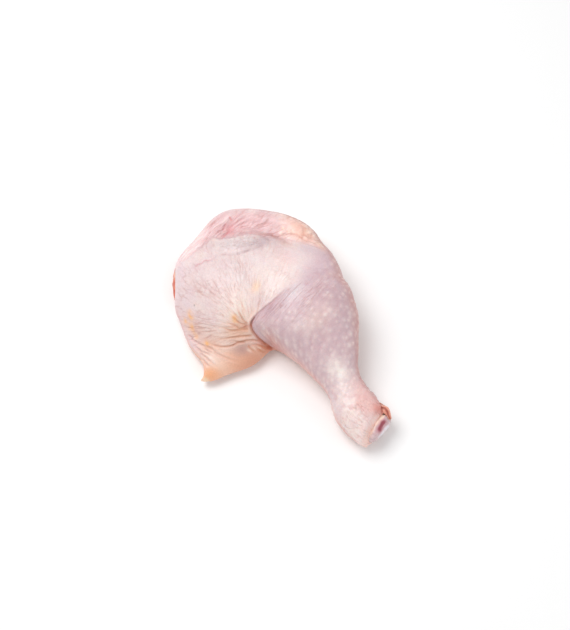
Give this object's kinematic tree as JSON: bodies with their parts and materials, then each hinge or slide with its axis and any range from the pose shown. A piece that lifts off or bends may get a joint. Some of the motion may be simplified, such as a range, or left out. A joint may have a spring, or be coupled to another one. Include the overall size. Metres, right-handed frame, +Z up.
{
  "type": "raw chicken leg quarter",
  "caption": "Raw chicken leg quarter: thigh and drumstick in one piece, skin side up, folded at the knee, with a loose skin flap and the bone showing at the cut hock.",
  "frame": {"origin": "on the table, under the middle of the leg's bounding box", "axes": "+Z up through the skin side, +X from the hip end of the thigh towards the hock, +Y from the hock towards the back of the thigh"},
  "size_m": [0.1348, 0.1522, 0.0504],
  "materials": {
    "skin": "moist raw skin, semi-gloss",
    "meat": "moist raw meat",
    "bone": "moist cartilage",
    "tendon": "moist sinew"
  },
  "bodies": {
    "root": {"skin_on_leg": "skin", "thigh_meat": "meat", "shank_bone": "bone", "shank_tendon": "tendon"}
  },
  "joints": []
}
